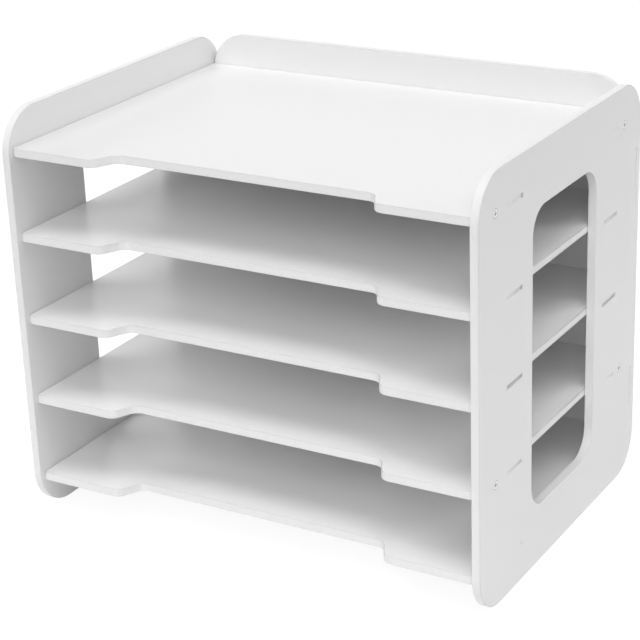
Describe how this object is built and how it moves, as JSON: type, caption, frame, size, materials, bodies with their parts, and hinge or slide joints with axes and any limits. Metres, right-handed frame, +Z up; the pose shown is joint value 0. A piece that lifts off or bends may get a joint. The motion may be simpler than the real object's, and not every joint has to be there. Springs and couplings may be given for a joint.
{
  "type": "desktop paper rack",
  "caption": "Open-front desktop paper rack: flat white shelves with S-curved finger recesses, tabbed and screwed between rounded, windowed side panels and a closed back.",
  "frame": {"origin": "middle of the rack's footprint, on the surface that it stands on", "axes": "+X to the rack's right as seen from its open front, +Y from the open front to the closed back, +Z up"},
  "size_m": [0.33, 0.242, 0.276],
  "materials": {
    "white_board": "smooth satin white foam board with rounded edges",
    "screw_steel": "bright nickel-plated steel"
  },
  "bodies": {
    "root": {"left_side_panel": "white_board", "right_side_panel": "white_board", "back_panel": "white_board", "shelf_1": "white_board", "shelf_2": "white_board", "shelf_3": "white_board", "shelf_4": "white_board", "shelf_5": "white_board", "left_screws": "screw_steel", "right_screws": "screw_steel"}
  },
  "joints": []
}
